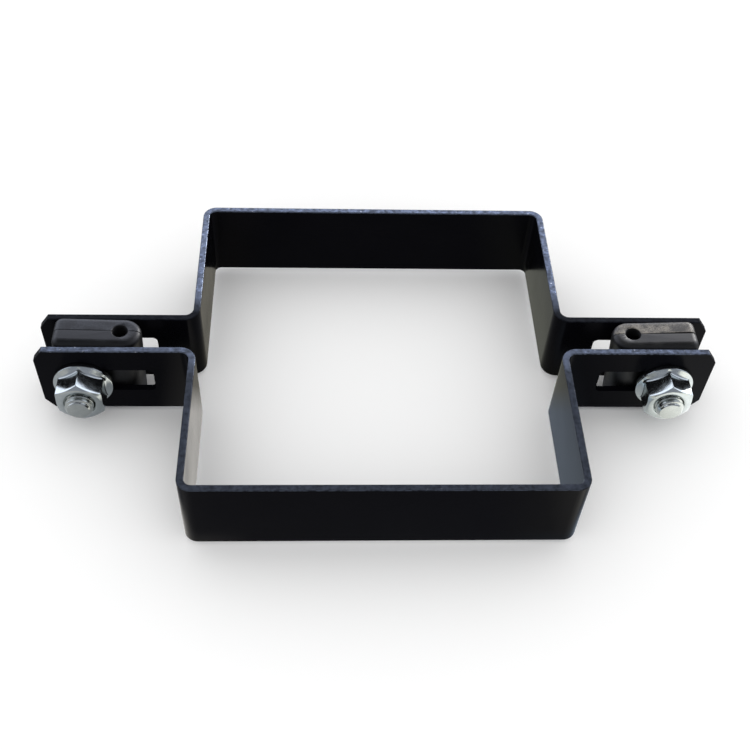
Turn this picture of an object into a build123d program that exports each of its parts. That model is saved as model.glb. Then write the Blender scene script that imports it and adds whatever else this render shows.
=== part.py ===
from build123d import *
from math import radians, tan
import os

# Square-post clamp for fence panels. Two folded steel straps close round a square post, and a bolt
# through each pair of ears pulls them together. A split plastic clip fills the gap between each
# pair of ears and grips an upright wire of the panel.
#
# Frame: X along the ears, Y along the bolts with the nuts at -Y, Z up along the post.
# Origin: middle of the post opening, level with the lowest edges.

# ---- What the clamp fits ----
post_width = 100.0              # square post, along X
post_depth = 100.0              # square post, along Y
side_clearance = 2.0            # post to each leg
face_clearance = 1.7            # post to each web
wire_diameter = 4.0             # upright wire of the panel
wire_clearance = 0.1            # all round the wire

# ---- Folded steel straps ----
strip_height = 25.0
strip_thickness = 2.0
strip_edge_radius = 0.3         # coated edges of the sheared strip
corner_bend_radius = 2.0        # inside radius, web to leg
ear_bend_radius = 2.5           # inside radius, leg to ear
ear_length = 44.0               # leg's outside face to ear tip
ear_cut_length = 2.7            # clipped ear corners, along X
ear_cut_height = 3.8            # clipped ear corners, along Z
slot_length = 25.0
slot_end_margin = 8.0           # ear tip to slot
slot_corner_radius = 1.5

# ---- Carriage bolts ----
bolt_diameter = 8.0
bolt_length = 24.8              # underside of the head to the tip
bolt_from_ear_tip = 13.0        # ear tip to bolt axis
bolt_tip_chamfer = 0.9
neck_width = 8.2                # square neck under the head
neck_length = 5.0
neck_corner_radius = 0.8
neck_clearance = 0.4            # neck to the slot, above and below
head_diameter = 20.0
head_height = 4.6
head_rim = 1.0                  # straight edge below the dome

# ---- Hexagon flange nuts ----
nut_width = 13.0                # across flats
nut_height = 8.0
nut_face_diameter = 12.0        # flat ring inside the corner chamfer
nut_chamfer_angle = 30.0
nut_mouth_diameter = 9.2        # countersunk thread mouth
thread_clearance = 0.05         # bore to bolt, all round
flange_diameter = 17.0
flange_rim = 1.2
flange_height = 2.3             # where the sloping flange meets the hexagon's flats
flange_rounding = 0.4
right_nut_turn = 3.0            # degrees from the left nut, as tightened

# ---- Split plastic clips ----
clip_thickness = 10.4           # both halves together, ear to ear
clip_length = 24.9
clip_height = 28.0
clip_from_ear_tip = 5.2         # ear tip to the clip's outer end
clip_edge_radius = 2.0          # top and bottom edges beside the ears
clip_corner_radius = 2.3        # upright corners at the outer end
clip_parting_chamfer = 0.15
wire_from_clip_end = 6.1        # clip's inner end to wire axis
wire_mouth_chamfer = 0.4

# ---- Sizes and places that follow ----
inner_x = post_width / 2 + side_clearance
inner_y = post_depth / 2 + face_clearance
ear_face_y = clip_thickness / 2
ear_back_y = ear_face_y + strip_thickness
ear_tip_x = inner_x + strip_thickness + ear_length
mid_z = max(clip_height, strip_height) / 2
slot_height = neck_width + 2 * neck_clearance
slot_x = ear_tip_x - slot_end_margin - slot_length / 2
bolt_x = ear_tip_x - bolt_from_ear_tip
bolt_z = mid_z - neck_clearance         # the neck sits on the lower side of its slot
clip_outer_x = ear_tip_x - clip_from_ear_tip
clip_inner_x = clip_outer_x - clip_length
wire_x = clip_inner_x + wire_from_clip_end
wire_hole_radius = wire_diameter / 2 + wire_clearance

# Half turns that carry the one strap and the one clip half to their other places.
turned_about_z = Location((0, 0, 0), (0, 0, 180))
turned_about_x = Location((0, 0, 2 * mid_z), (180, 0, 0))


def make_rear_strap():
    """One strip folded into web, legs and ears, open towards -Y."""
    ear_fold_radius = ear_bend_radius + strip_thickness     # the clip's side of this bend is outside
    with BuildPart() as strap:
        with BuildSketch():
            with BuildLine():
                FilletPolyline(
                    (-ear_tip_x, ear_face_y),
                    (-inner_x, ear_face_y),
                    (-inner_x, inner_y),
                    (inner_x, inner_y),
                    (inner_x, ear_face_y),
                    (ear_tip_x, ear_face_y),
                    radius=[ear_fold_radius, corner_bend_radius, corner_bend_radius, ear_fold_radius],
                )
                offset(amount=strip_thickness, side=Side.LEFT)
            make_face()
        extrude(amount=strip_height)

        # The blank seen from the front: clipped corners and a slot in each ear.
        with BuildSketch(Plane.XZ):
            with BuildLine():
                Polyline(
                    (-ear_tip_x, ear_cut_height),
                    (-ear_tip_x + ear_cut_length, 0),
                    (ear_tip_x - ear_cut_length, 0),
                    (ear_tip_x, ear_cut_height),
                    (ear_tip_x, strip_height - ear_cut_height),
                    (ear_tip_x - ear_cut_length, strip_height),
                    (-ear_tip_x + ear_cut_length, strip_height),
                    (-ear_tip_x, strip_height - ear_cut_height),
                    close=True,
                )
            make_face()
            with Locations((-slot_x, strip_height / 2), (slot_x, strip_height / 2)):
                RectangleRounded(slot_length, slot_height, slot_corner_radius, mode=Mode.SUBTRACT)
        extrude(amount=inner_y + 2 * strip_thickness, both=True, mode=Mode.INTERSECT)

        # Both long edges of the strip's rims, right round the folds.
        rims = strap.faces().sort_by(Axis.Z)
        fillet((rims[0] + rims[-1]).edges(), strip_edge_radius)
    return strap.part.moved(Location((0, 0, mid_z - strip_height / 2)))


def make_bolt():
    """Mushroom head, square neck and plain shank along -Y, with the head's underside at Y = 0."""
    head_radius = head_diameter / 2
    shank_radius = bolt_diameter / 2
    with BuildPart() as bolt:
        with BuildSketch():
            with BuildLine():
                Polyline(
                    (0, head_height),
                    (0, -bolt_length),
                    (shank_radius - bolt_tip_chamfer, -bolt_length),
                    (shank_radius, -bolt_length + bolt_tip_chamfer),
                    (shank_radius, 0),
                    (head_radius, 0),
                    (head_radius, head_rim),
                )
                TangentArc((0, head_height), (head_radius, head_rim), tangent=(1, 0))
            make_face()
        revolve(axis=Axis.Y)
        with BuildSketch(Plane.XZ):
            RectangleRounded(neck_width, neck_width, neck_corner_radius)
        extrude(amount=neck_length)
    return bolt.part


def make_nut():
    """Hexagon flange nut standing on its flange along +Z, a corner of the hexagon towards +Y."""
    face_radius = nut_face_diameter / 2
    flange_radius = flange_diameter / 2
    bore_radius = bolt_diameter / 2 + thread_clearance
    mouth_radius = nut_mouth_diameter / 2
    mouth_depth = mouth_radius - bore_radius
    chamfer_drop = (nut_width - face_radius) * tan(radians(nut_chamfer_angle))
    with BuildPart() as nut:
        with BuildSketch():
            RegularPolygon(nut_width / 2, 6, major_radius=False, rotation=30)
        extrude(amount=nut_height)
        with BuildSketch(Plane.XZ):
            with BuildLine():
                Polyline(
                    (0, 0),
                    (nut_width, 0),
                    (nut_width, nut_height - chamfer_drop),
                    (face_radius, nut_height),
                    (0, nut_height),
                    close=True,
                )
            make_face()
        revolve(axis=Axis.Z, mode=Mode.INTERSECT)
        with BuildSketch(Plane.XZ):
            with BuildLine():
                Polyline(
                    (0, 0),
                    (flange_radius, 0),
                    (flange_radius, flange_rim),
                    (nut_width / 2, flange_height),
                    (0, flange_height),
                    close=True,
                )
            flange_face = make_face()
            fillet(flange_face.vertices().sort_by(Axis.X)[-2:].sort_by(Axis.Y)[-1], flange_rounding)
        revolve(axis=Axis.Z)
        with BuildSketch(Plane.XZ):
            with BuildLine():
                Polyline(
                    (0, 0),
                    (mouth_radius, 0),
                    (bore_radius, mouth_depth),
                    (bore_radius, nut_height - mouth_depth),
                    (mouth_radius, nut_height),
                    (0, nut_height),
                    close=True,
                )
            make_face()
        revolve(axis=Axis.Z, mode=Mode.SUBTRACT)
    return nut.part


def make_right_rear_clip_half():
    """Half of the split clip: rounded inner end with half the wire hole, square bolt hole."""
    half_thickness = clip_thickness / 2
    with BuildPart() as half:
        with BuildSketch():
            with BuildLine():
                RadiusArc(
                    (clip_inner_x, 0),
                    (clip_inner_x + half_thickness, half_thickness),
                    half_thickness,
                )
                FilletPolyline(
                    (clip_inner_x + half_thickness, half_thickness),
                    (clip_outer_x, half_thickness),
                    (clip_outer_x, 0),
                    radius=clip_corner_radius,
                )
                Line((clip_outer_x, 0), (clip_inner_x, 0))
            make_face()
        extrude(amount=clip_height)
        ends = half.faces().sort_by(Axis.Z)
        outer_edges = (ends[0] + ends[-1]).edges().filter_by(lambda edge: edge.center().Y > 0.01)
        fillet(outer_edges, clip_edge_radius)
        chamfer(half.faces().sort_by(Axis.Y)[0].edges(), clip_parting_chamfer)

        with Locations((wire_x, 0, clip_height / 2)):
            Cylinder(wire_hole_radius, clip_height, mode=Mode.SUBTRACT)
        for mouth_z, rise in ((0, 1), (clip_height, -1)):
            with Locations((wire_x, 0, mouth_z + rise * wire_mouth_chamfer / 2)):
                Cone(
                    wire_hole_radius + wire_mouth_chamfer * (rise > 0),
                    wire_hole_radius + wire_mouth_chamfer * (rise < 0),
                    wire_mouth_chamfer,
                    mode=Mode.SUBTRACT,
                )
        with BuildSketch(Plane.XZ):
            with Locations((bolt_x, clip_height / 2)):
                RectangleRounded(slot_height, slot_height, neck_corner_radius)
        extrude(amount=-half_thickness, mode=Mode.SUBTRACT)
    return half.part.moved(Location((0, 0, mid_z - clip_height / 2)))


rear_strap = make_rear_strap()
bolt = make_bolt()
nut = make_nut()
right_clip_rear = make_right_rear_clip_half()
right_clip_front = right_clip_rear.moved(turned_about_x)

parts = {
    "rear_strap": rear_strap,
    "front_strap": rear_strap.moved(turned_about_z),
    "right_clip_rear": right_clip_rear,
    "right_clip_front": right_clip_front,
    "left_clip_rear": right_clip_front.moved(turned_about_z),
    "left_clip_front": right_clip_rear.moved(turned_about_z),
}
for side, sign, nut_turn in (("left", -1, 0), ("right", 1, right_nut_turn)):
    parts[f"{side}_bolt"] = bolt.moved(Location((sign * bolt_x, ear_back_y, bolt_z)))
    nut_seat = Plane(origin=(sign * bolt_x, -ear_back_y, bolt_z), x_dir=(1, 0, 0), z_dir=(0, -1, 0))
    parts[f"{side}_nut"] = nut.moved(nut_seat.location * Location((0, 0, 0), (0, 0, nut_turn)))

os.makedirs("parts", exist_ok=True)
for node, shape in parts.items():
    export_step(shape, f"parts/{node}.step")
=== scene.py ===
import math

import bmesh
import bpy
from mathutils import Matrix, Vector


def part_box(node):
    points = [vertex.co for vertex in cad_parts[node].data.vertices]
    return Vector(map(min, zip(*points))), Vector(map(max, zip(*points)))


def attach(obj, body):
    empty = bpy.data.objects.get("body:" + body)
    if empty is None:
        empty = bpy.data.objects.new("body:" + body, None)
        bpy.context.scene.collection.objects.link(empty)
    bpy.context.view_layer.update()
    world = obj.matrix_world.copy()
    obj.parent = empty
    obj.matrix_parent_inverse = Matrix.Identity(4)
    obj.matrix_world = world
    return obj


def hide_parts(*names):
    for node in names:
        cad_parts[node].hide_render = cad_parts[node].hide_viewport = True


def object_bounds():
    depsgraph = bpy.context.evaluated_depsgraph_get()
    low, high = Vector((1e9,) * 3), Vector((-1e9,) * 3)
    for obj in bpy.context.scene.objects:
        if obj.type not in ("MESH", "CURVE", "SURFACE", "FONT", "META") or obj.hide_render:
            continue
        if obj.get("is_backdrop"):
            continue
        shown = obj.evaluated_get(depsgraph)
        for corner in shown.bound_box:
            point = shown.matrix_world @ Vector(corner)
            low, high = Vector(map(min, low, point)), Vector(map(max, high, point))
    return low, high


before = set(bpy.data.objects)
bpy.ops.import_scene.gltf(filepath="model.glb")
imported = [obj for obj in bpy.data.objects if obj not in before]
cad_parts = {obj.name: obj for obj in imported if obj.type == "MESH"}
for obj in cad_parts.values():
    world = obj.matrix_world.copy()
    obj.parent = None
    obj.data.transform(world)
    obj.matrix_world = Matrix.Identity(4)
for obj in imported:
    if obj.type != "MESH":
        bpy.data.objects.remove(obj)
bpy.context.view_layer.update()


# ---- Folded straps ----
# Two strips of 25 x 2 mm hot-rolled steel, slotted and clipped in a press tool, then folded on a
# brake into web, legs and ears. They are powder coated black after folding, so the coat is thin
# and rough where it covers the sheared rims.

MM = 0.001


def linear(hex_colour):
    """An sRGB hex colour as the linear RGBA that sockets take."""
    channels = [int(hex_colour[i:i + 2], 16) / 255 for i in (0, 2, 4)]
    return (*[c / 12.92 if c <= 0.04045 else ((c + 0.055) / 1.055) ** 2.4 for c in channels], 1.0)


def add_node(tree, kind, inputs=None, **settings):
    """Adds a node; inputs maps its sockets to values or to the sockets that feed them."""
    node = tree.nodes.new(kind)
    for name, value in settings.items():
        setattr(node, name, value)
    for socket, value in (inputs or {}).items():
        if isinstance(value, bpy.types.NodeSocket):
            tree.links.new(value, node.inputs[socket])
        else:
            node.inputs[socket].default_value = value
    return node


def new_material(name, **values):
    """A node material with the Principled shader's own sockets set; gives its tree and shader."""
    material = bpy.data.materials.new(name)
    material.use_nodes = True
    shader = material.node_tree.nodes["Principled BSDF"]
    for socket, value in values.items():
        shader.inputs[socket.replace("_", " ")].default_value = value
    return material, material.node_tree, shader


def powder_coat(name, ear_rim, web_rim):
    """Polyester powder coat on folded steel: near black, semi-gloss, with a faint orange peel, and
    a thin blue-grey coat on the sheared rims that lets the torn steel glint through; how much steel
    shows on each rim is partly wear and partly painted highlight and painted shade."""
    material, tree, shader = new_material(name, Specular_IOR_Level=0.04, IOR=1.5)
    place = add_node(tree, "ShaderNodeTexCoord")
    facing = add_node(tree, "ShaderNodeSeparateXYZ", {0: place.outputs["Normal"]})
    upright = add_node(tree, "ShaderNodeMath", {0: facing.outputs["Z"]}, operation="ABSOLUTE")
    level = add_node(tree, "ShaderNodeMapRange", {
        "Value": upright.outputs[0], "From Min": 0.80, "From Max": 0.97},
        interpolation_type="SMOOTHSTEP")
    rounded = add_node(tree, "ShaderNodeMapRange", {
        "Value": upright.outputs[0], "From Min": 0.10, "From Max": 0.40},
        interpolation_type="SMOOTHSTEP")

    # how much steel shows differs between a strap's ears and its web: partly wear, partly painted light that
    # brightens or darkens each rim
    where = add_node(tree, "ShaderNodeSeparateXYZ", {0: place.outputs["Object"]})
    across = add_node(tree, "ShaderNodeMath", {0: where.outputs["Y"]}, operation="ABSOLUTE")
    off_middle = add_node(tree, "ShaderNodeMath", {0: where.outputs["Z"], 1: strap_middle},
                          operation="SUBTRACT")
    far = add_node(tree, "ShaderNodeMath", {0: off_middle.outputs[0]}, operation="ABSOLUTE")
    outer = add_node(tree, "ShaderNodeMath", {0: far.outputs[0], 1: strap_half_height - rim_edge},
                     operation="GREATER_THAN")      # the strip's rims, not the slots
    rim = add_node(tree, "ShaderNodeMath", {0: level.outputs[0], 1: outer.outputs[0]}, operation="MULTIPLY")
    edge = add_node(tree, "ShaderNodeMath", {0: rounded.outputs[0], 1: outer.outputs[0]},
                    operation="MULTIPLY")
    coat_wear_and_light = add_node(tree, "ShaderNodeMapRange", {
        "Value": across.outputs[0], "From Min": 7 * MM, "From Max": 18 * MM,
        "To Min": ear_rim, "To Max": web_rim}, interpolation_type="SMOOTHSTEP")

    # torn steel: blotches about 1.5 mm across and bright points about 0.4 mm across
    blotch = add_node(tree, "ShaderNodeTexNoise", {
        "Vector": place.outputs["Object"], "Scale": 0.9 / (1.5 * MM), "Detail": 4.0, "Roughness": 0.65})
    torn = add_node(tree, "ShaderNodeMapRange", {
        "Value": blotch.outputs["Fac"], "From Min": 0.36, "From Max": 0.66, "To Min": 0.35, "To Max": 1.0})
    rim_wear_and_light = add_node(tree, "ShaderNodeMath", {0: rim.outputs[0], 1: coat_wear_and_light.outputs[0]}, operation="MULTIPLY")
    flat_shown = add_node(tree, "ShaderNodeMath", {0: rim_wear_and_light.outputs[0], 1: torn.outputs[0]},
                          operation="MULTIPLY")
    # the rounded edges hold least coat: they are worn bright in short broken lengths
    nick = add_node(tree, "ShaderNodeTexNoise", {
        "Vector": place.outputs["Object"], "Scale": 0.9 / (0.9 * MM), "Detail": 3.0, "Roughness": 0.7})
    nicked = add_node(tree, "ShaderNodeMapRange", {
        "Value": nick.outputs["Fac"], "From Min": 0.42, "From Max": 0.56, "To Min": 0.15, "To Max": 0.9})
    edge_only = add_node(tree, "ShaderNodeMath", {0: edge.outputs[0], 1: rim.outputs[0]},
                         operation="SUBTRACT")
    edge_thin = add_node(tree, "ShaderNodeMath", {0: edge_only.outputs[0], 1: nicked.outputs[0]},
                         operation="MULTIPLY")
    edge_shown = add_node(tree, "ShaderNodeMath", {0: edge_thin.outputs[0], 1: coat_wear_and_light.outputs[0]},
                          operation="MULTIPLY")
    shown = add_node(tree, "ShaderNodeMath", {0: flat_shown.outputs[0], 1: edge_shown.outputs[0]},
                     operation="ADD", use_clamp=True)
    specks = add_node(tree, "ShaderNodeTexVoronoi", {
        "Vector": place.outputs["Object"], "Scale": 1 / (2.2 * MM), "Randomness": 1.0})
    point = add_node(tree, "ShaderNodeMapRange", {
        "Value": specks.outputs["Distance"], "From Min": 0.05, "From Max": 0.12,
        "To Min": 1.0, "To Max": 0.0})
    glint = add_node(tree, "ShaderNodeMath", {0: point.outputs[0], 1: shown.outputs[0]}, operation="MULTIPLY")

    # the steel's blue-grey tint is partly painted reflection of a blue sky
    steel = add_node(tree, "ShaderNodeMix", {
        "Factor": glint.outputs[0], "A": linear("717a8c"), "B": linear("e6e9f0")}, data_type="RGBA")
    cloud = add_node(tree, "ShaderNodeTexNoise", {
        "Vector": place.outputs["Object"], "Scale": 1 / (14 * MM), "Detail": 3.0})
    paint = add_node(tree, "ShaderNodeMix", {
        "Factor": cloud.outputs["Fac"], "A": linear("050508"), "B": linear("09090d")}, data_type="RGBA")
    colour = add_node(tree, "ShaderNodeMix", {
        "Factor": shown.outputs[0], "A": paint.outputs["Result"], "B": steel.outputs["Result"]},
        data_type="RGBA")
    tree.links.new(colour.outputs["Result"], shader.inputs["Base Color"])
    tree.links.new(shown.outputs[0], shader.inputs["Metallic"])
    gloss = add_node(tree, "ShaderNodeMapRange", {
        "Value": cloud.outputs["Fac"], "From Min": 0.3, "From Max": 0.7, "To Min": 0.17, "To Max": 0.24})
    tree.links.new(gloss.outputs[0], shader.inputs["Roughness"])

    # orange peel: waves about 1.2 mm across and a few microns high
    peel = add_node(tree, "ShaderNodeTexNoise", {
        "Vector": place.outputs["Object"], "Scale": 0.9 / (1.2 * MM), "Detail": 2.0})
    peel_bump = add_node(tree, "ShaderNodeBump", {
        "Height": peel.outputs["Fac"], "Distance": 0.012 * MM, "Strength": 1.0})
    torn_height = add_node(tree, "ShaderNodeMath", {0: blotch.outputs["Fac"], 1: rim.outputs[0]},
                           operation="MULTIPLY")
    torn_bump = add_node(tree, "ShaderNodeBump", {
        "Height": torn_height.outputs[0], "Distance": 0.10 * MM, "Strength": 1.0,
        "Normal": peel_bump.outputs["Normal"]})
    tree.links.new(torn_bump.outputs["Normal"], shader.inputs["Normal"])
    return material


strap_low, strap_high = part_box("rear_strap")
strap_middle = (strap_low.z + strap_high.z) / 2
strap_half_height = (strap_high.z - strap_low.z) / 2
rim_edge = 0.6 * MM                 # how far down a strip's face its rim is taken to reach
# the two straps are alike; their rim amounts are painted light: the rear strap's ear rims and the front
# strap's web rims are darkened as painted shade, the others kept bright as painted highlight
for node_name, ear_rim, web_rim in (("rear_strap", 0.06, 1.0), ("front_strap", 0.8, 0.3)):
    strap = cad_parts[node_name]
    strap.data.materials.clear()
    strap.data.materials.append(powder_coat("powder_coated_steel_" + node_name, ear_rim, web_rim))


# ---- Split clips ----
# Two moulded halves of black polypropylene between each pair of ears, parted along the wire hole.
# They hang a little loose on their bolt, so each leans down at the end that holds the wire.

clip_low, clip_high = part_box("right_clip_rear")
hole_x = clip_low.x + 6.1 * MM      # axis of the wire hole
hole_radius = 2.1 * MM
wall_margin = 0.15 * MM


def moulded_plastic(name, dark, light, dust_and_light):
    """Spark-eroded mould finish on black polypropylene: a soft, even grain, with dust and a painted sheen
    where it faces up.
    """
    material, tree, shader = new_material(name, IOR=1.49)
    place = add_node(tree, "ShaderNodeTexCoord")
    grain = add_node(tree, "ShaderNodeTexNoise", {
        "Vector": place.outputs["Object"], "Scale": 0.9 / (0.35 * MM), "Detail": 3.0, "Roughness": 0.6})
    cloud = add_node(tree, "ShaderNodeTexNoise", {
        "Vector": place.outputs["Object"], "Scale": 0.9 / (3 * MM), "Detail": 4.0})
    lying = add_node(tree, "ShaderNodeMath", {0: grain.outputs["Fac"], 1: cloud.outputs["Fac"]},
                     operation="MULTIPLY")
    # dust and painted sheen: the top faces are lightened, partly dust and partly painted light where the tops
    # catch the light
    dust_and_sheen = add_node(tree, "ShaderNodeMapRange", {
        "Value": lying.outputs[0], "From Min": 0.18, "From Max": 0.34, "To Min": 0.15, "To Max": dust_and_light})
    facing = add_node(tree, "ShaderNodeSeparateXYZ", {0: place.outputs["Normal"]})
    on_top = add_node(tree, "ShaderNodeMapRange", {
        "Value": facing.outputs["Z"], "From Min": 0.55, "From Max": 0.95},
        interpolation_type="SMOOTHSTEP")
    dust_and_sheen_on_top = add_node(tree, "ShaderNodeMath", {0: dust_and_sheen.outputs[0], 1: on_top.outputs[0]},
                       operation="MULTIPLY")
    colour = add_node(tree, "ShaderNodeMix", {
        "Factor": dust_and_sheen_on_top.outputs[0], "A": linear(dark), "B": linear(light)}, data_type="RGBA")
    tree.links.new(colour.outputs["Result"], shader.inputs["Base Color"])
    gloss = add_node(tree, "ShaderNodeMapRange", {
        "Value": cloud.outputs["Fac"], "From Min": 0.3, "From Max": 0.7, "To Min": 0.40, "To Max": 0.50})
    # the wire hole's core pin leaves a dull, dark wall
    where = add_node(tree, "ShaderNodeSeparateXYZ", {0: place.outputs["Object"]})
    along = add_node(tree, "ShaderNodeMath", {0: where.outputs["X"]}, operation="ABSOLUTE")
    off_axis = add_node(tree, "ShaderNodeMath", {0: along.outputs[0], 1: hole_x}, operation="SUBTRACT")
    flat = add_node(tree, "ShaderNodeCombineXYZ", {"X": off_axis.outputs[0], "Y": where.outputs["Y"]})
    from_axis = add_node(tree, "ShaderNodeVectorMath", {0: flat.outputs[0]}, operation="LENGTH")
    wall = add_node(tree, "ShaderNodeMath", {0: from_axis.outputs["Value"], 1: hole_radius + wall_margin},
                    operation="LESS_THAN")
    dull = add_node(tree, "ShaderNodeMath", {0: wall.outputs[0], 1: gloss.outputs[0]}, operation="MAXIMUM")
    tree.links.new(dull.outputs[0], shader.inputs["Roughness"])
    bump = add_node(tree, "ShaderNodeBump", {
        "Height": grain.outputs["Fac"], "Distance": 0.02 * MM, "Strength": 1.0})
    tree.links.new(bump.outputs["Normal"], shader.inputs["Normal"])
    return material


def finish_mesh(name, shell, material, angle):
    """Makes a finished piece at the origin from a bmesh, smooth up to the given edge angle."""
    mesh = bpy.data.meshes.new(name)
    shell.to_mesh(mesh)
    shell.free()
    mesh.materials.append(material)
    mesh.shade_smooth()
    mesh.set_sharp_from_angle(angle=math.radians(angle))
    piece = bpy.data.objects.new(name, mesh)
    bpy.context.scene.collection.objects.link(piece)
    return piece


parting_gap = 0.22 * MM             # the right clip has pulled apart a little at its outer end
parting_face = 0.2 * MM             # what lies closer to the parting than this moves with it
parted_share = 0.45                 # of the clip's length
lean_share = 0.9                    # keeps the leaning clips inside the part's box
weld = 0.002 * MM
clip_lean = {"left": math.tan(math.radians(3.5)), "right": math.tan(math.radians(5.5))}
clip_drop = {"left": 0.8 * MM, "right": 1.0 * MM}
# the halves are alike, but each has its own copy: the front halves darker as painted shade, the rear halves'
# tops lighter as painted highlight; the right clip's warm tone is dust
clip_plastic = {
    "left_front": moulded_plastic("moulded_polypropylene_left_front", "020203", "20232a", 0.4),
    "left_rear": moulded_plastic("moulded_polypropylene_left_rear", "050507", "33373f", 0.7),
    "right_front": moulded_plastic("moulded_polypropylene_right_front", "020202", "2b2a28", 0.5),
    "right_rear": moulded_plastic("moulded_polypropylene_right_rear", "070606", "7c776f", 0.95),
}

for side, sign in (("left", -1), ("right", 1)):
    for half in ("front", "rear"):
        node_name = f"{side}_clip_{half}"
        shell = bmesh.new()
        shell.from_mesh(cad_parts[node_name].data)
        bmesh.ops.remove_doubles(shell, verts=shell.verts, dist=weld)
        for vert in shell.verts:
            inward = (clip_high.x - sign * vert.co.x) / (clip_high.x - clip_low.x)
            up = (vert.co.z - clip_low.z) / (clip_high.z - clip_low.z)
            vert.co.x += sign * clip_lean[side] * (clip_high.z - vert.co.z) * lean_share
            vert.co.z -= clip_drop[side] * inward * up
            if side == "right" and abs(vert.co.y) < parting_face:
                opening = parting_gap * max(0.0, parted_share - inward) / parted_share
                vert.co.y += opening if half == "rear" else -opening
        piece = finish_mesh(node_name + "_moulding", shell, clip_plastic[f"{side}_{half}"], angle=24)
        weighted = piece.modifiers.new("weighted", "WEIGHTED_NORMAL")
        weighted.keep_sharp = True
        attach(piece, "root")
        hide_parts(node_name)


# ---- Carriage bolts ----
# M8 carriage bolts, cold headed from wire with a domed head and a square neck, threads rolled,
# then zinc plated. The neck sits in the rear ear's slot and the nut pulls up on the front ear.

def zinc_plate(name, base, shade, low_gloss, high_gloss):
    """Bright zinc plating over formed steel: a cool silver sheen, clouded by the passivation."""
    material, tree, shader = new_material(name, Metallic=1.0)
    place = add_node(tree, "ShaderNodeTexCoord")
    cloud = add_node(tree, "ShaderNodeTexNoise", {
        "Vector": place.outputs["Object"], "Scale": 0.9 / (2.2 * MM), "Detail": 5.0, "Roughness": 0.6})
    colour = add_node(tree, "ShaderNodeMix", {
        "Factor": cloud.outputs["Fac"], "A": linear(shade), "B": linear(base)}, data_type="RGBA")
    tree.links.new(colour.outputs["Result"], shader.inputs["Base Color"])
    gloss = add_node(tree, "ShaderNodeMapRange", {
        "Value": cloud.outputs["Fac"], "From Min": 0.3, "From Max": 0.7,
        "To Min": low_gloss, "To Max": high_gloss})
    tree.links.new(gloss.outputs[0], shader.inputs["Roughness"])
    fine = add_node(tree, "ShaderNodeTexNoise", {
        "Vector": place.outputs["Object"], "Scale": 0.9 / (0.5 * MM), "Detail": 3.0})
    bump = add_node(tree, "ShaderNodeBump", {
        "Height": fine.outputs["Fac"], "Distance": 0.005 * MM, "Strength": 1.0})
    tree.links.new(bump.outputs["Normal"], shader.inputs["Normal"])
    return material


bolt_zinc = zinc_plate("zinc_plated_rolled_steel", "d6dad5", "b4b9b5", 0.2, 0.28)
thread_pitch = 1.25 * MM            # M8 coarse
thread_depth = 0.70 * MM
thread_columns = 72
thread_rows = 256
shank_radius = 4.0 * MM
tip_chamfer = 0.9 * MM
tip_longer = 0.4 * MM               # the tips stand out of the nuts a little further than the solids'
strap_thickness = 2.0 * MM
neck_depth = 5.0 * MM
neck_half_width = 4.1 * MM
neck_corner = 0.8 * MM
neck_fillet = 0.3 * MM
head_rim = 1.0 * MM
head_edge = 0.25 * MM
dome_steps = 24

rolled_thread = bpy.data.node_groups.new("rolled_thread", "GeometryNodeTree")
sockets = {}
for label, kind in (("Radius", "Float"), ("Length", "Float"), ("Pitch", "Float"), ("Depth", "Float"),
                    ("Chamfer", "Float"), ("Columns", "Int"), ("Rows", "Int"), ("Material", "Material")):
    sockets[label] = rolled_thread.interface.new_socket(
        label, in_out="INPUT", socket_type="NodeSocket" + kind).identifier
rolled_thread.interface.new_socket("Mesh", in_out="OUTPUT", socket_type="NodeSocketGeometry")
size = add_node(rolled_thread, "NodeGroupInput").outputs
blank = add_node(rolled_thread, "GeometryNodeMeshCylinder", {
    "Vertices": size["Columns"], "Side Segments": size["Rows"], "Radius": 1.0, "Depth": size["Length"]},
    fill_type="NONE")
spot = add_node(rolled_thread, "ShaderNodeSeparateXYZ", {
    0: add_node(rolled_thread, "GeometryNodeInputPosition").outputs[0]}).outputs
angle = add_node(rolled_thread, "ShaderNodeMath", {0: spot["Y"], 1: spot["X"]}, operation="ARCTAN2")
turn = add_node(rolled_thread, "ShaderNodeMath", {0: angle.outputs[0], 1: math.tau}, operation="DIVIDE")
pitches = add_node(rolled_thread, "ShaderNodeMath", {0: spot["Z"], 1: size["Pitch"]}, operation="DIVIDE")
winding = add_node(rolled_thread, "ShaderNodeMath", {0: pitches.outputs[0], 1: turn.outputs[0]},
                   operation="SUBTRACT")
phase = add_node(rolled_thread, "ShaderNodeMath", {0: winding.outputs[0]}, operation="FRACT")
swing = add_node(rolled_thread, "ShaderNodeMath", {0: phase.outputs[0], 1: 2.0, 2: -1.0},
                 operation="MULTIPLY_ADD")
ridge = add_node(rolled_thread, "ShaderNodeMath", {0: swing.outputs[0]}, operation="ABSOLUTE")
valley = add_node(rolled_thread, "ShaderNodeMapRange", {
    "Value": ridge.outputs[0], "From Min": 0.10, "From Max": 0.86, "To Min": 1.0, "To Max": 0.0},
    interpolation_type="SMOOTHSTEP")
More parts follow.
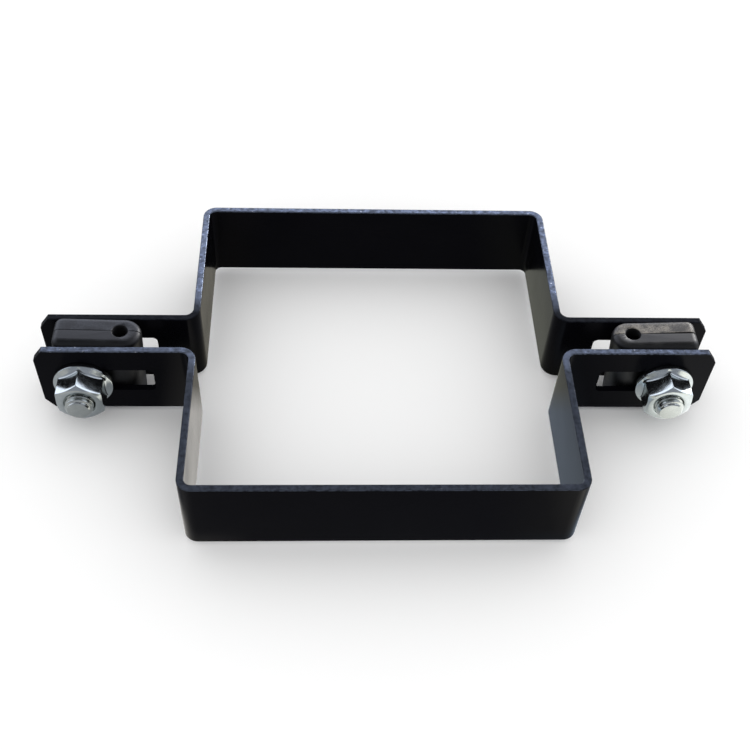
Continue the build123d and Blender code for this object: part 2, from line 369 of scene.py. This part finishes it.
# the tip is at the low end; the thread runs out over one pitch below the neck
from_end = add_node(rolled_thread, "ShaderNodeMath", {0: size["Length"], 1: 0.5, 2: spot["Z"]},
                    operation="MULTIPLY_ADD")
from_neck = add_node(rolled_thread, "ShaderNodeMath", {0: size["Length"], 1: from_end.outputs[0]},
                     operation="SUBTRACT")
run_out = add_node(rolled_thread, "ShaderNodeMapRange", {
    "Value": from_neck.outputs[0], "From Min": 0.0, "From Max": size["Pitch"],
    "To Min": 0.0, "To Max": size["Depth"]})
groove = add_node(rolled_thread, "ShaderNodeMath", {0: valley.outputs[0], 1: run_out.outputs[0]},
                  operation="MULTIPLY")
threaded = add_node(rolled_thread, "ShaderNodeMath", {0: size["Radius"], 1: groove.outputs[0]},
                    operation="SUBTRACT")
tip_radius = add_node(rolled_thread, "ShaderNodeMath", {0: size["Radius"], 1: size["Chamfer"]},
                      operation="SUBTRACT")
cone = add_node(rolled_thread, "ShaderNodeMath", {0: tip_radius.outputs[0], 1: from_end.outputs[0]},
                operation="ADD")
reach = add_node(rolled_thread, "ShaderNodeMath", {0: threaded.outputs[0], 1: cone.outputs[0]},
                 operation="MINIMUM")
out_x = add_node(rolled_thread, "ShaderNodeMath", {0: spot["X"], 1: reach.outputs[0]}, operation="MULTIPLY")
out_y = add_node(rolled_thread, "ShaderNodeMath", {0: spot["Y"], 1: reach.outputs[0]}, operation="MULTIPLY")
formed = add_node(rolled_thread, "ShaderNodeCombineXYZ", {
    "X": out_x.outputs[0], "Y": out_y.outputs[0], "Z": spot["Z"]})
rolled = add_node(rolled_thread, "GeometryNodeSetPosition", {
    "Geometry": blank.outputs["Mesh"], "Position": formed.outputs[0]})
whole = add_node(rolled_thread, "GeometryNodeRealizeInstances", {"Geometry": rolled.outputs[0]})
dressed = add_node(rolled_thread, "GeometryNodeSetMaterial", {
    "Geometry": whole.outputs[0], "Material": size["Material"]})
add_node(rolled_thread, "NodeGroupOutput", {0: dressed.outputs[0]})


def square_reach(angle):
    """From the axis to the rounded square neck, in the given direction."""
    turn_off = abs((angle + math.pi / 4) % (math.pi / 2) - math.pi / 4)     # from a flat's middle
    centre = neck_half_width - neck_corner
    flat_end = math.atan2(centre, neck_half_width)
    if turn_off <= flat_end:
        return neck_half_width / math.cos(turn_off)
    off = turn_off - math.pi / 4
    span = centre * math.sqrt(2)
    return span * math.cos(off) + math.sqrt(neck_corner ** 2 - (span * math.sin(off)) ** 2)


def ring_shell(rows, columns):
    """A closed-round shell from rows of (reach, height) functions of the angle, along local Z."""
    shell = bmesh.new()
    rings = [[shell.verts.new((reach(a) * math.cos(a), reach(a) * math.sin(a), height(a)))
              for a in columns] for reach, height in rows]
    count = len(columns)
    for low, high in zip(rings, rings[1:]):
        for i in range(count):
            j = (i + 1) % count
            shell.faces.new((low[i], low[j], high[j], high[i]))
    return shell, rings


# sideways and upward, as the bolts lie in their slots
hang = {"left": (-0.4 * MM, -0.3 * MM), "right": (-0.1 * MM, -0.4 * MM)}
for side in ("left", "right"):
    low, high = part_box(side + "_bolt")
    head_radius = (high.x - low.x) / 2
    axis_x, axis_z = (low.x + high.x) / 2 + hang[side][0], (low.z + high.z) / 2 + hang[side][1]
    low.y -= tip_longer
    seat_y = strap_low.y + strap_thickness                     # back of the rear ear
    head_height = high.y - seat_y
    shank_length = seat_y - neck_depth - low.y

    holder = bpy.data.objects.new("thread_blank", bpy.data.meshes.new("thread_blank"))
    bpy.context.scene.collection.objects.link(holder)
    modifier = holder.modifiers.new("rolled_thread", "NODES")
    modifier.node_group = rolled_thread
    for label, value in (("Radius", shank_radius), ("Length", shank_length), ("Pitch", thread_pitch),
                         ("Depth", thread_depth), ("Chamfer", tip_chamfer), ("Columns", thread_columns),
                         ("Rows", thread_rows), ("Material", bolt_zinc)):
        modifier[sockets[label]] = value
    evaluated = holder.evaluated_get(bpy.context.evaluated_depsgraph_get())
    thread = bpy.data.meshes.new_from_object(evaluated)
    bpy.data.objects.remove(holder)

    # head and neck on the same columns: dome, rim, underside, square neck, then down to the shank
    columns = [math.tau * i / thread_columns for i in range(thread_columns)]
    dome = head_height - head_rim
    dome_radius = (head_radius ** 2 + dome ** 2) / (2 * dome)
    rows = []
    for step in range(1, dome_steps + 1):
        reach = head_radius * math.sin(math.pi / 2 * step / dome_steps)
        rise = head_rim + math.sqrt(dome_radius ** 2 - reach ** 2) - (dome_radius - dome)
        rows.append((lambda a, r=reach: r, lambda a, h=rise: h))
    rows[-1] = (lambda a: head_radius - head_edge * 0.3, lambda a: head_rim + head_edge * 0.4)
    for reach, rise in (
        (head_radius, head_rim - head_edge), (head_radius, head_edge),
        (head_radius - head_edge * 0.3, head_edge * 0.3), (head_radius - head_edge, 0.0),
        (head_radius * 0.75, 0.0),
    ):
        rows.append((lambda a, r=reach: r, lambda a, h=rise: h))
    for out, rise in (
        (neck_fillet, 0.0), (neck_fillet * 0.3, -neck_fillet * 0.3), (0.0, -neck_fillet),
        (0.0, -neck_depth + neck_fillet), (-neck_fillet * 0.3, -neck_depth + neck_fillet * 0.3),
        (-neck_fillet, -neck_depth),
    ):
        rows.append((lambda a, o=out: square_reach(a) + o, lambda a, h=rise: h))
    rows.append((lambda a: shank_radius, lambda a: -neck_depth))
    shell, rings = ring_shell(rows, columns)
    crown = shell.verts.new((0, 0, head_height))
    for i in range(thread_columns):
        shell.faces.new((crown, rings[0][i], rings[0][(i + 1) % thread_columns]))
    thread.transform(Matrix.Translation((0, 0, -neck_depth - shank_length / 2)))
    shell.from_mesh(thread)
    bmesh.ops.remove_doubles(shell, verts=shell.verts, dist=0.005 * MM)
    tip_ring = [e for e in shell.edges if e.is_boundary]
    tip = bmesh.ops.edgeloop_fill(shell, edges=tip_ring)["faces"]
    bmesh.ops.poke(shell, faces=tip)
    # local Z runs along +Y on the object
    shell.transform(Matrix.Translation((axis_x, seat_y, axis_z)) @ Matrix.Rotation(math.radians(-90), 4, "X"))
    bmesh.ops.recalc_face_normals(shell, faces=shell.faces)
    piece = finish_mesh(side + "_carriage_bolt", shell, bolt_zinc, angle=35)
    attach(piece, "root")
    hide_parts(side + "_bolt")


# ---- Flange nuts ----
# M8 hexagon flange nuts, cold forged with a sloping flange and a corner chamfer, tapped and
# zinc plated. Each is turned by hand to wherever it came tight.

nut_zinc = zinc_plate("zinc_plated_forged_steel", "d2d8d6", "b0b7b6", 0.12, 0.2)
nut_half_width = 6.5 * MM
nut_corner = 0.35 * MM
foot_corner = 2.4 * MM              # the corners melt into the flange
nut_face = 6.0 * MM
nut_bore = 4.05 * MM
nut_mouth = 4.6 * MM
flange_rim = 1.4 * MM
flange_top = 2.5 * MM
flange_edge = 0.4 * MM
chamfer_slope = math.tan(math.radians(30))
foot_hollow = 0.6 * MM              # forging radius at the foot of the hexagon
soft_edge = 0.07 * MM
nut_taller = 0.5 * MM               # the hexagons stand a little further out than the solids'


def hexagon_reach(angle, corner=nut_corner):
    """From the axis to the hexagon with softened corners; a corner lies at 90 degrees."""
    off = (angle - math.pi / 2 + math.pi / 6) % (math.pi / 3) - math.pi / 6
    centre = (nut_half_width - corner) / math.cos(math.pi / 6)
    corner_end = math.atan2(corner * 0.5, centre + corner * math.cos(math.pi / 6))
    if abs(off) < corner_end:
        return centre * math.cos(off) + math.sqrt(corner ** 2 - (centre * math.sin(off)) ** 2)
    return nut_half_width / math.cos(math.pi / 6 - abs(off))


corner_step = 0.55                  # degrees
nut_columns = []
for corner in range(6):
    start = math.radians(90 + 60 * corner)
    for off in range(-3, 4):                                    # close together round the corner
        nut_columns.append(start + math.radians(off * corner_step))
    for step in range(1, 18):
        nut_columns.append(start + math.radians(3 * corner_step + (60 - 6 * corner_step) * step / 18))
nut_columns.sort()


def join_height(angle):
    """Where the sloping flange meets the hexagon's side."""
    slope = (flange_top - flange_rim) / (flange_radius - nut_half_width)
    return flange_top - slope * (hexagon_reach(angle) - nut_half_width)


def crest_height(angle):
    """Where the corner chamfer cuts the hexagon's side."""
    return nut_height - chamfer_slope * (hexagon_reach(angle) - nut_face)


def chamfer_reach(angle, share):
    """A share of the way in from the hexagon's side to the rim of the face."""
    side_reach = hexagon_reach(angle) - soft_edge
    return side_reach + (nut_face + soft_edge - side_reach) * share


for side, turned in (("left", 0.0), ("right", 3.0)):
    low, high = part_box(side + "_nut")
    nut_height = high.y - low.y + nut_taller
    flange_radius = (high.x - low.x) / 2
    slope_angle = math.atan2(flange_top - flange_rim, flange_radius - nut_half_width)
    rows = []

    def row(reach, height):
        rows.append((reach if callable(reach) else (lambda a, r=reach: r),
                     height if callable(height) else (lambda a, h=height: h)))

    row(nut_bore, nut_height / 2)
    row(nut_bore, nut_mouth - nut_bore)
    row(nut_mouth, 0.0)
    row(flange_radius - 0.3 * MM, 0.0)
    row(flange_radius - 0.09 * MM, 0.09 * MM)
    row(flange_radius, 0.3 * MM)
    # rounded rim of the flange, tangent to the rim and to the slope
    rim_centre_r = flange_radius - flange_edge
    rim_centre_h = flange_rim - flange_edge * math.tan((math.pi / 2 - slope_angle) / 2)
    for step in range(7):
        swing = (math.pi / 2 - slope_angle) * step / 6
        row(rim_centre_r + flange_edge * math.cos(swing), rim_centre_h + flange_edge * math.sin(swing))
    # hollow foot: the corners melt into the flange
    rise = math.tan(slope_angle)
    row(lambda a: hexagon_reach(a, foot_corner) + foot_hollow * 1.2,
        lambda a: join_height(a) - rise * foot_hollow * 1.2)
    for step in range(7):
        swing = step / 6
        row(lambda a, s=swing: hexagon_reach(a, foot_corner + (nut_corner - foot_corner) * s)
            + foot_hollow * (1 - s) ** 2,
            lambda a, s=swing: join_height(a) - rise * foot_hollow * (1 - s) ** 2 + foot_hollow * s ** 2)
    # flats, then the corner chamfer and the face, each with a soft edge
    for share in (0.3, 0.6, 0.85):
        row(hexagon_reach, lambda a, k=share: join_height(a) + foot_hollow
            + (crest_height(a) - join_height(a) - foot_hollow) * k)
    row(hexagon_reach, lambda a: crest_height(a) - soft_edge)
    row(lambda a: hexagon_reach(a) - soft_edge * 0.25, lambda a: crest_height(a) + soft_edge * 0.1)
    row(lambda a: chamfer_reach(a, 0) - (chamfer_reach(a, 0) - nut_face) * 0.02,
        lambda a: nut_height - chamfer_slope * (chamfer_reach(a, 0) - nut_face))
    for share in (0.35, 0.7):
        row(lambda a, k=share: chamfer_reach(a, k),
            lambda a, k=share: nut_height - chamfer_slope * (chamfer_reach(a, k) - nut_face))
    row(nut_face + soft_edge, nut_height - chamfer_slope * soft_edge)
    row(nut_face - soft_edge, nut_height)
    row(nut_mouth + 0.5 * MM, nut_height)
    row(nut_mouth + soft_edge, nut_height)
    row(nut_mouth - soft_edge, nut_height - soft_edge)
    row(nut_bore, nut_height - (nut_mouth - nut_bore))
    row(nut_bore, nut_height / 2)
    shell, rings = ring_shell(rows, nut_columns)
    bmesh.ops.remove_doubles(shell, verts=shell.verts, dist=weld)
    axis_x, axis_z = (low.x + high.x) / 2 + hang[side][0], (low.z + high.z) / 2 + hang[side][1]
    shell.transform(
        Matrix.Translation((axis_x, high.y, axis_z))
        @ Matrix.Rotation(math.radians(90), 4, "X") @ Matrix.Rotation(math.radians(turned), 4, "Z"))
    bmesh.ops.recalc_face_normals(shell, faces=shell.faces)
    piece = finish_mesh(side + "_flange_nut", shell, nut_zinc, angle=60)
    weighted = piece.modifiers.new("weighted", "WEIGHTED_NORMAL")
    weighted.keep_sharp = True
    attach(piece, "root")
    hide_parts(side + "_nut")


# ---- Studio ----
# A pale floor under an even dome. Glossy surfaces see bright walls and a dark ceiling, as in a light
# tent. In place of the floor they see a glowing sheet of painted reflection in three bands, before the
# part and under its front and rear halves, each toned from left to right with painted shade where the
# part shades the floor. One softbox stands behind to the right.

floor_mesh = bpy.data.meshes.new("floor")
floor_mesh.from_pydata([(-4, -4, 0), (4, -4, 0), (4, 4, 0), (-4, 4, 0)], [], [(0, 1, 2, 3)])
floor = bpy.data.objects.new("floor", floor_mesh)
bpy.context.scene.collection.objects.link(floor)
floor_paper, tree, shader = new_material("pale_paper", Roughness=0.9, Specular_IOR_Level=0.1)
shader.inputs["Base Color"].default_value = linear("fbfbfb")
spot = add_node(tree, "ShaderNodeSeparateXYZ", {0: add_node(tree, "ShaderNodeTexCoord").outputs["Object"]})
side_to_side = add_node(tree, "ShaderNodeMapRange", {
    "Value": spot.outputs["X"], "From Min": -100 * MM, "From Max": 100 * MM})
# painted shade: ramps of darker floor tones near the part, seen only in reflections
painted_shade_bands = []
for stops in (
    ((0.19, "a4a4a4"), (0.26, "7c7d7f"), (0.66, "72747a"), (0.74, "8f8f8c"), (0.79, "d8d6cf"),
     (0.84, "fffdf6")),
    ((0.01, "9a9ca0"), (0.08, "7e8084"), (0.17, "707276"), (0.205, "f2efea"), (0.26, "f2efea"),
     (0.32, "808184"), (0.68, "80858c"), (0.74, "a9b6c6"), (0.79, "a9b6c6"), (0.83, "84888e"),
     (0.88, "a0a2a4"), (0.94, "d5d5d2"), (0.99, "ffffff")),
    ((0.18, "66686c"), (0.21, "8a8880"), (0.27, "8c897f"), (0.32, "7a7b7e"), (0.68, "7a7b7e"),
     (0.74, "a6a89d"), (0.79, "a6a89d"), (0.83, "66686c")),
):
    tone = add_node(tree, "ShaderNodeValToRGB", {0: side_to_side.outputs[0]})
    for place_on_ramp, colour in stops:
        tone.color_ramp.elements.new(place_on_ramp).color = linear(colour)
    tone.color_ramp.elements.remove(tone.color_ramp.elements[0])
    tone.color_ramp.elements.remove(tone.color_ramp.elements[-1])
    painted_shade_bands.append(tone.outputs["Color"])
past_web = add_node(tree, "ShaderNodeMapRange", {
    "Value": spot.outputs["Y"], "From Min": -58 * MM, "From Max": -53 * MM})
past_ears = add_node(tree, "ShaderNodeMapRange", {
    "Value": spot.outputs["Y"], "From Min": -8 * MM, "From Max": 2 * MM})
near = add_node(tree, "ShaderNodeMix", {
    "Factor": past_web.outputs[0], "A": painted_shade_bands[0], "B": painted_shade_bands[1]}, data_type="RGBA")
painted_reflection_mix = add_node(tree, "ShaderNodeMix", {
    "Factor": past_ears.outputs[0], "A": near.outputs["Result"], "B": painted_shade_bands[2]}, data_type="RGBA")
# painted reflection: glossy rays see this glowing sheet instead of the lit floor
painted_floor_reflection = add_node(tree, "ShaderNodeEmission", {"Color": painted_reflection_mix.outputs["Result"], "Strength": 1.5})
path = add_node(tree, "ShaderNodeLightPath")
both = add_node(tree, "ShaderNodeMixShader", {
    0: path.outputs["Is Glossy Ray"], 1: shader.outputs[0], 2: painted_floor_reflection.outputs[0]})
tree.links.new(both.outputs[0], tree.nodes["Material Output"].inputs["Surface"])
floor_mesh.materials.append(floor_paper)
floor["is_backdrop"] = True

studio = bpy.data.worlds.new("studio")
bpy.context.scene.world = studio
studio.use_nodes = True
tree = studio.node_tree
dome = tree.nodes["Background"]
dome.inputs["Color"].default_value = (1.0, 1.0, 1.0, 1.0)
dome.inputs["Strength"].default_value = 1.12
ray = add_node(tree, "ShaderNodeSeparateXYZ", {0: add_node(tree, "ShaderNodeTexCoord").outputs["Generated"]})
height = add_node(tree, "ShaderNodeMapRange", {
    "Value": ray.outputs["Z"], "From Min": math.sin(math.radians(48)), "From Max": math.sin(math.radians(54)),
    "To Min": 1.0, "To Max": 0.06}, interpolation_type="SMOOTHSTEP")
back = add_node(tree, "ShaderNodeMapRange", {
    "Value": ray.outputs["Y"], "From Min": -0.5, "From Max": 0.5, "To Min": 0.4, "To Max": 2.1})
walls = add_node(tree, "ShaderNodeMath", {0: height.outputs[0], 1: back.outputs[0]}, operation="MULTIPLY")
tent = add_node(tree, "ShaderNodeBackground", {"Color": linear("e9eeff"), "Strength": walls.outputs[0]})
path = add_node(tree, "ShaderNodeLightPath")
both = add_node(tree, "ShaderNodeMixShader", {
    0: path.outputs["Is Glossy Ray"], 1: dome.outputs[0], 2: tent.outputs[0]})
tree.links.new(both.outputs[0], tree.nodes["World Output"].inputs["Surface"])

softbox_data = bpy.data.lights.new("softbox", "AREA")
softbox_data.shape = "RECTANGLE"
softbox_data.size, softbox_data.size_y = 0.5, 0.35
softbox_data.energy = 9.0
softbox_data.color = (1.0, 0.97, 0.93)
softbox = bpy.data.objects.new("softbox", softbox_data)
bpy.context.scene.collection.objects.link(softbox)
softbox_place = Vector((0.75, 0.75, 0.35))
softbox.location = softbox_place
softbox.rotation_mode = "QUATERNION"
softbox.rotation_quaternion = softbox_place.to_track_quat("Z", "Y")
softbox.visible_diffuse = False


# ---- Camera ----
camera_data = bpy.data.cameras.new("camera")
camera_data.lens = 51.106
camera_data.sensor_width = 36.0
camera_data.clip_start = 0.01
camera = bpy.data.objects.new("camera", camera_data)
bpy.context.scene.collection.objects.link(camera)
camera.matrix_world = (
    Matrix.Translation(Vector((-16.83, -204.13, 255.46)) * MM)
    @ Matrix.Rotation(math.radians(-4.558), 4, "Z")
    @ Matrix.Rotation(math.radians(90 - 50.394), 4, "X")
    @ Matrix.Rotation(math.radians(3.689), 4, "Z")
)
bpy.context.scene.camera = camera
bpy.context.scene.view_settings.view_transform = "Standard"

low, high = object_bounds()
